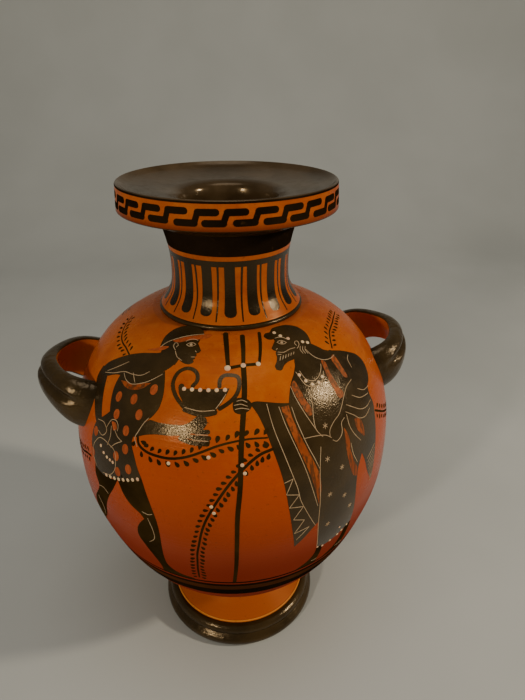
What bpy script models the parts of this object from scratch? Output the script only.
"""A two-handled storage jar of the painted Greek kind, built the way a potter builds it.

The mouth, neck, two halves of the belly, stem and base are turned separately and luted together,
and the two strap handles are rolled, bent and stuck on the shoulder. All sizes are in metres.
The origin is the centre of the base, +Z is up, the handles lie on +X and -X, and -Y is the front.
"""

import math

import bmesh
import bpy
from mathutils import Vector

# ---- driving dimensions -------------------------------------------------------------------
HEIGHT = 0.4015          # base to rim
RIM_R = 0.075            # outside of the mouth band, at its top
BAND_FLARE = 0.001       # the band is this much wider at its lower edge
BAND_H = 0.018           # height of the mouth band
THROAT_R = 0.033         # inside of the neck where the dish of the mouth ends
DISH_DEPTH = 0.026       # rim down to where the throat is straight
NECK_TOP_R = 0.0480      # outside of the neck under the mouth
NECK_WAIST_R = 0.0425    # narrowest outside of the neck
NECK_FOOT_R = 0.0518     # outside of the neck where it stands on the shoulder
NECK_TOP_Z = 0.3745      # where the neck meets the underside of the mouth
RING_R = 0.0532          # fillet ring at the foot of the neck
SHOULDER_Z = 0.3105      # where the neck meets the shoulder
BELLY_R = 0.1256         # widest radius
BELLY_Z = 0.2050         # height of the widest radius
SEAM_Z = 0.1800          # where the two thrown halves of the belly meet
BELLY_FLOOR_Z = 0.0500   # underside of the belly, on the stem
WALL = 0.0060            # thickness of the thrown wall
STEM_TOP_R = 0.0400      # stem under the belly
STEM_FOOT_R = 0.0624     # stem where it lands on the base
STEM_FOOT_Z = 0.0225     # height of the stem's lower edge
BASE_R = 0.0727          # widest radius of the base
LUTE = 0.0003            # slip joint between two luted pieces

HANDLE_Z = 0.2563        # height of the handle roots
HANDLE_HALF_SPREAD = 0.0392   # half the distance between the two roots of one handle
HANDLE_BACK = 0.0025     # both handles stand this far behind the widest line
HANDLE_REACH = 0.1461    # how far the outside of a handle stands from the axis
HANDLE_TILT = math.radians(20.0)  # the loop rises outwards by this much
LOOP_SQUARENESS = 0.62   # under 1 the loop is squarer than an ellipse
LOOP_NIP = 0.30          # share by which the loop narrows towards its end
STRAP_H = 0.0251         # height of the strap at mid loop
STRAP_T = 0.0110         # thickness of the strap at mid loop
ROOT_SWELL = 1.27        # the strap widens by this much at its roots
ROOT_DROP = 0.34         # and its lower half runs this much further down the belly
GROOVE = 0.0030          # depth of the finger groove along the outside of the strap

SIDES = 48               # facets round every turned piece
STRAP_STATIONS = 22      # cross-sections along a handle
STRAP_POINTS = 18        # points round one cross-section

CLAY = (0.50, 0.15, 0.035, 1.0)
SLIP = (0.022, 0.018, 0.014, 1.0)


# ---- helpers ------------------------------------------------------------------------------
def material(name, colour, roughness):
    mat = bpy.data.materials.new(name)
    mat.use_nodes = True
    shader = mat.node_tree.nodes["Principled BSDF"]
    shader.inputs["Base Color"].default_value = colour
    shader.inputs["Roughness"].default_value = roughness
    shader.inputs["Metallic"].default_value = 0.0
    return mat


def new_object(name, mesh, mat):
    obj = bpy.data.objects.new(name, mesh)
    bpy.context.scene.collection.objects.link(obj)
    mesh.materials.append(mat)
    return obj


def smooth_curve(points, steps):
    """A Catmull-Rom curve through (r, z) points, with this many steps between two of them."""
    ends = [points[0]] + list(points) + [points[-1]]
    curve = []
    for i in range(1, len(ends) - 2):
        a, b, c, d = (Vector(p) for p in ends[i - 1 : i + 3])
        for k in range(steps):
            t = k / steps
            curve.append(
                0.5 * (2 * b + (c - a) * t + (2 * a - 5 * b + 4 * c - d) * t ** 2
                       + (3 * b - 3 * c + d - a) * t ** 3)
            )
    curve.append(Vector(points[-1]))
    return [(p.x, p.y) for p in curve]


def arc(centre, radius, start_deg, end_deg, steps):
    """Points of a circular arc in the (r, z) plane, ends included."""
    found = []
    for k in range(steps + 1):
        a = math.radians(start_deg + (end_deg - start_deg) * k / steps)
        found.append((centre[0] + radius * math.cos(a), centre[1] + radius * math.sin(a)))
    return found


def inset(points, depth):
    """The same (r, z) curve moved towards the axis and along its normal by this depth."""
    moved = []
    for i, (r, z) in enumerate(points):
        before = Vector(points[max(i - 1, 0)])
        after = Vector(points[min(i + 1, len(points) - 1)])
        along = (after - before).normalized()
        moved.append((r + along.y * depth, z - along.x * depth))
    return moved


def between(points, low, high):
    """The stretch of a falling (r, z) curve between two heights, cut exactly at both."""
    cut = []
    for (r0, z0), (r1, z1) in zip(points, points[1:]):
        for level in (high, low):
            if z0 > level > z1:
                cut.append((r0 + (r1 - r0) * (z0 - level) / (z0 - z1), level))
    kept = [p for p in points if low < p[1] < high]
    return sorted(cut + kept, key=lambda p: -p[1])


def radius_at(points, height):
    """Radius of a falling (r, z) curve at a height."""
    for (r0, z0), (r1, z1) in zip(points, points[1:]):
        if z0 >= height >= z1:
            return r0 + (r1 - r0) * (z0 - height) / (z0 - z1)
    raise ValueError("height is off the curve")


def turned(name, loop, mat):
    """A closed (r, z) loop turned on the wheel. The loop runs down its outer side first.

    A point on the axis becomes one vertex, so a solid piece closes there.
    """
    bm = bmesh.new()
    rings = []
    for r, z in loop:
        if r < 1e-6:
            rings.append([bm.verts.new((0.0, 0.0, z))])
            continue
        ring = []
        for k in range(SIDES):
            a = 2 * math.pi * k / SIDES
            ring.append(bm.verts.new((r * math.cos(a), r * math.sin(a), z)))
        rings.append(ring)
    for upper, lower in zip(rings, rings[1:] + rings[:1]):
        for k in range(SIDES):
            n = (k + 1) % SIDES
            if len(upper) == 1 and len(lower) == 1:
                continue
            if len(upper) == 1:
                bm.faces.new((upper[0], lower[k], lower[n]))
            elif len(lower) == 1:
                bm.faces.new((upper[k], lower[0], upper[n]))
            else:
                bm.faces.new((upper[k], lower[k], lower[n], upper[n]))
    mesh = bpy.data.meshes.new(name)
    bm.to_mesh(mesh)
    bm.free()
    mesh.shade_smooth()
    mesh.set_sharp_from_angle(angle=math.radians(40))
    return new_object(name, mesh, mat)


# ---- profiles -----------------------------------------------------------------------------
def belly_profile():
    """Outside of the belly from the foot of the neck to the stem, falling all the way."""
    return smooth_curve(
        [
            (0.0495, 0.3140),
            (0.0760, 0.3030),
            (0.0975, 0.2870),
            (0.1135, 0.2640),
            (0.1225, 0.2380),
            (BELLY_R, BELLY_Z),
            (0.1240, 0.1760),
            (0.1170, 0.1480),
            (0.1060, 0.1190),
            (0.0900, 0.0920),
            (0.0680, 0.0690),
            (STEM_TOP_R, BELLY_FLOOR_Z),
        ],
        2,
    )


def neck_profile():
    """Outside of the neck from under the mouth to the shoulder."""
    return smooth_curve(
        [
            (NECK_TOP_R, NECK_TOP_Z),
            (0.0443, 0.3600),
            (NECK_WAIST_R, 0.3440),
            (0.0441, 0.3270),
            (NECK_FOOT_R, SHOULDER_Z + 0.0040),
        ],
        3,
    )


# ---- pieces -------------------------------------------------------------------------------
def mouth(mat):
    """Dish mouth with an upright band, closed below by a ledge that lands on the neck."""
    top = HEIGHT
    edge = 0.0012
    band_low = top - BAND_H
    ledge = band_low - 0.0020
    outer = arc((RIM_R - edge, top - edge), edge, 90, 0, 3)
    outer += arc((RIM_R + BAND_FLARE - edge, band_low + edge), edge, 0, -90, 3)
    under = [(0.0610, ledge), (NECK_TOP_R + 0.0030, NECK_TOP_Z + LUTE)]
    throat = [(THROAT_R, NECK_TOP_Z + LUTE)]
    dish = smooth_curve(
        [
            (THROAT_R, top - DISH_DEPTH),
            (0.0334, top - 0.0160),
            (0.0352, top - 0.0112),
            (0.0400, top - 0.0090),
            (0.0500, top - 0.0078),
            (0.0620, top - 0.0056),
            (0.0700, top - 0.0030),
            (RIM_R - 2 * edge, top - 0.0010),
        ],
        2,
    )
    return turned("mouth", outer + under + throat + dish[1:], mat)


def neck(mat):
    outside = neck_profile()
    inside = smooth_curve(
        [(THROAT_R, NECK_TOP_Z), (0.0335, 0.3420), (NECK_FOOT_R - WALL, SHOULDER_Z + 0.0040)], 3
    )
    return turned("neck", outside + inside[::-1], mat)


def neck_ring(mat):
    """Rounded fillet of clay that hides the joint of neck and shoulder."""
    inner = NECK_FOOT_R - WALL
    low = SHOULDER_Z + 0.0004
    high = SHOULDER_Z + 0.0040 - LUTE
    mid = (low + high) / 2
    outer = [
        (RING_R - 0.0012, high),
        (RING_R - 0.0002, high - 0.0008),
        (RING_R, mid),
        (RING_R - 0.0002, low + 0.0008),
        (RING_R - 0.0012, low),
    ]
    return turned("neck_ring", outer + [(inner, low), (inner, high)], mat)


def belly_upper(profile, mat):
    """Shoulder and upper belly, open at the neck, with a scarfed lower edge."""
    outside = between(profile, SEAM_Z, SHOULDER_Z)
    inside = [p for p in inset(profile, WALL) if SEAM_Z + WALL < p[1] < SHOULDER_Z - 0.0020]
    inner_top = (NECK_FOOT_R - WALL, SHOULDER_Z)
    inner_low = (radius_at(inset(profile, WALL), SEAM_Z + WALL), SEAM_Z + WALL)
    return turned("belly_upper", outside + [inner_low] + inside[::-1] + [inner_top], mat)


def belly_lower(profile, mat):
    """Lower belly with its closed floor. Its upper edge rises inwards into the scarf joint."""
    outside = between(profile, BELLY_FLOOR_Z + 0.0001, SEAM_Z - LUTE)
    hollow = [p for p in inset(profile, WALL) if 0.062 < p[1] < SEAM_Z + WALL - LUTE]
    top_inner = (radius_at(inset(profile, WALL), SEAM_Z + WALL - LUTE), SEAM_Z + WALL - LUTE)
    floor_outer = (STEM_TOP_R, BELLY_FLOOR_Z)
    floor_inner = (0.0, BELLY_FLOOR_Z + WALL)
    loop = outside + [floor_outer, (0.0, BELLY_FLOOR_Z), floor_inner] + hollow[::-1] + [top_inner]
    return turned("belly_lower", loop, mat)


def stem(mat):
    """Flaring foot stem, turned hollow underneath."""
    top = BELLY_FLOOR_Z - LUTE
    outside = smooth_curve(
        [(STEM_TOP_R, top), (0.0415, 0.0420), (0.0480, 0.0330), (STEM_FOOT_R, STEM_FOOT_Z)], 3
    )
    lip = arc((STEM_FOOT_R - 0.0008, STEM_FOOT_Z - 0.0012), 0.0012, 60, -90, 3)
    inside = [(0.0540, STEM_FOOT_Z - 0.0024), (0.0440, 0.0280), (0.0360, 0.0360), (0.0330, top - WALL)]
    loop = outside[:-1] + lip + inside + [(0.0, top - WALL), (0.0, top)]
    return turned("stem", loop, mat)


def base(mat):
    """Foot ring with two rounded mouldings and a flat rim to stand on."""
    top = STEM_FOOT_Z - 0.0024 - LUTE
    upper = arc((0.0632, top - 0.0056), 0.0056, 90, -20, 5)
    lower = arc((BASE_R - 0.0056, 0.0056), 0.0056, 50, -60, 5)
    inside = [(0.0660, 0.0), (0.0520, 0.0), (0.0500, 0.0020), (0.0500, top)]
    return turned("base", upper + lower + inside, mat)


def strap_section(height, thickness, drop):
    """Cross-section of a handle as (outward, upward) pairs: flat inside, grooved and round outside.

    The lower half is stretched by the share given as drop.
    """
    points = []
    flat_points = 5
    for k in range(flat_points):
        points.append((-thickness / 2, height / 2 * (1 - 2 * k / (flat_points - 1)) * 0.92))
    round_points = STRAP_POINTS - flat_points
    for k in range(round_points):
        a = math.pi * (k + 0.5) / round_points - math.pi / 2
        depth = thickness * math.cos(a) ** 0.7
        groove = GROOVE * math.exp(-((a - 0.12) / 0.24) ** 2)
        points.append((-thickness / 2 + depth - groove, height / 2 * math.sin(a)))
    return [(u, v if v > 0 else v * (1 + drop)) for u, v in points]


def handle(name, side, cutter, mat):
    """One strap handle: a level loop from root to root, trimmed to the curve of the belly."""
    root_r = radius_at(belly_profile(), HANDLE_Z)
    root_y = HANDLE_HALF_SPREAD + HANDLE_BACK
    root_x = math.sqrt(root_r ** 2 - root_y ** 2) - 0.006
    top_x = HANDLE_REACH - STRAP_T / 2
    rise = Vector((-math.sin(HANDLE_TILT), 0.0, math.cos(HANDLE_TILT)))
    path = []
    for i in range(STRAP_STATIONS + 1):
        t = math.pi * i / STRAP_STATIONS
        x = root_x + (top_x - root_x) * math.sin(t) ** LOOP_SQUARENESS
        y = HANDLE_BACK - HANDLE_HALF_SPREAD * math.cos(t) * (1 - LOOP_NIP * math.sin(t) ** 2)
        path.append(Vector((x, y, HANDLE_Z + (x - root_x) * math.tan(HANDLE_TILT))))
    bm = bmesh.new()
    rings = []
    for i, here in enumerate(path):
        along = path[min(i + 1, STRAP_STATIONS)] - path[max(i - 1, 0)]
        outward = along.normalized().cross(rise).normalized()
        bend = abs(math.cos(math.pi * i / STRAP_STATIONS))
        swell = 1 + (ROOT_SWELL - 1) * bend ** 4
        section = strap_section(STRAP_H * swell, STRAP_T * (1 + (swell - 1) * 0.35), ROOT_DROP * bend ** 10)
        rings.append([bm.verts.new(here + outward * u + rise * v) for u, v in section])
    for first, second in zip(rings, rings[1:]):
        for k in range(STRAP_POINTS):
            n = (k + 1) % STRAP_POINTS
            bm.faces.new((first[k], first[n], second[n], second[k]))
    bm.faces.new(rings[0][::-1])
    bm.faces.new(rings[-1])
    for vert in bm.verts:
        vert.co.x *= side
    bmesh.ops.recalc_face_normals(bm, faces=bm.faces)
    mesh = bpy.data.meshes.new(name)
    bm.to_mesh(mesh)
    bm.free()
    mesh.shade_smooth()
    mesh.set_sharp_from_angle(angle=math.radians(45))
    obj = new_object(name, mesh, mat)
    trim = obj.modifiers.new("trim to belly", "BOOLEAN")
    trim.operation = "DIFFERENCE"
    trim.solver = "EXACT"
    trim.object = cutter
    return obj


def belly_cutter(profile, mat):
    """The belly as a solid, fatter by one lute, which trims the handle roots."""
    skin = inset(between(profile, 0.12, 0.31), -LUTE)
    obj = turned("belly_cutter", skin + [(0.0, 0.12), (0.0, 0.31)], mat)
    obj.hide_render = True
    obj.display_type = "WIRE"
    return obj


# ---- assembly -----------------------------------------------------------------------------
def main():
    for obj in list(bpy.data.objects):
        bpy.data.objects.remove(obj)
    clay = material("fired_clay", CLAY, 0.42)
    slip = material("black_slip", SLIP, 0.30)
    profile = belly_profile()
    mouth(clay)
    neck(clay)
    neck_ring(slip)
    belly_upper(profile, clay)
    belly_lower(profile, clay)
    stem(clay)
    base(slip)
    cutter = belly_cutter(profile, slip)
    handle("handle_right", 1, cutter, slip)
    handle("handle_left", -1, cutter, slip)


main()
